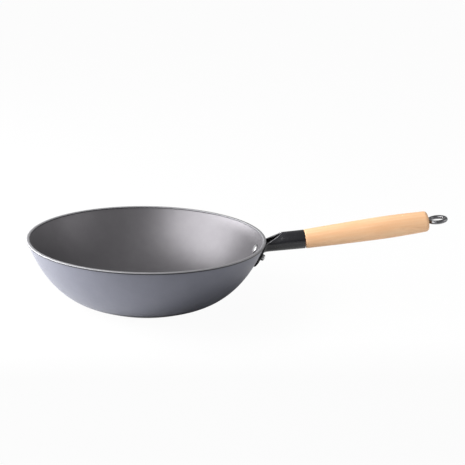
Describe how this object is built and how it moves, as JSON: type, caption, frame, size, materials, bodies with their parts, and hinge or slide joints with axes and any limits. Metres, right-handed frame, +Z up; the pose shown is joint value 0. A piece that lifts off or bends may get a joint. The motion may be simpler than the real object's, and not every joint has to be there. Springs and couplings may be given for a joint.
{
  "type": "wok",
  "caption": "Round cast iron wok with a flat base, a riveted sheet steel socket bracket, and a turned wooden grip held on by a long eye bolt that also serves to hang it.",
  "frame": {"origin": "centre of the flat base's underside", "axes": "+X along the handle, away from the bowl; +Z up, out of the bowl's mouth; +Y across"},
  "size_m": [0.5339, 0.3008, 0.1185],
  "materials": {
    "cast_iron_bowl": "satin grey, fine cast grain",
    "black_sheet": "satin black coating on pressed steel sheet",
    "rivet_steel": "bright steel",
    "beech": "turned pale beech, thin clear varnish",
    "dark_wire": "dark blued steel wire"
  },
  "bodies": {
    "pan": {"wok_bowl": "cast_iron_bowl", "handle_bracket": "black_sheet", "rivet_near": "rivet_steel", "rivet_far": "rivet_steel", "anchor_disc": "black_sheet", "anchor_nut": "rivet_steel", "wooden_grip": "beech"},
    "eye_bolt": {"eye_bolt": "dark_wire"}
  },
  "joints": [
    {"name": "eye_turn", "type": "hinge", "parent": "pan", "child": "eye_bolt", "pos_m": [0.20011, 0, 0.08156], "axis": [0.9881, 0, 0.1538], "range_deg": [0, 90]}
  ]
}
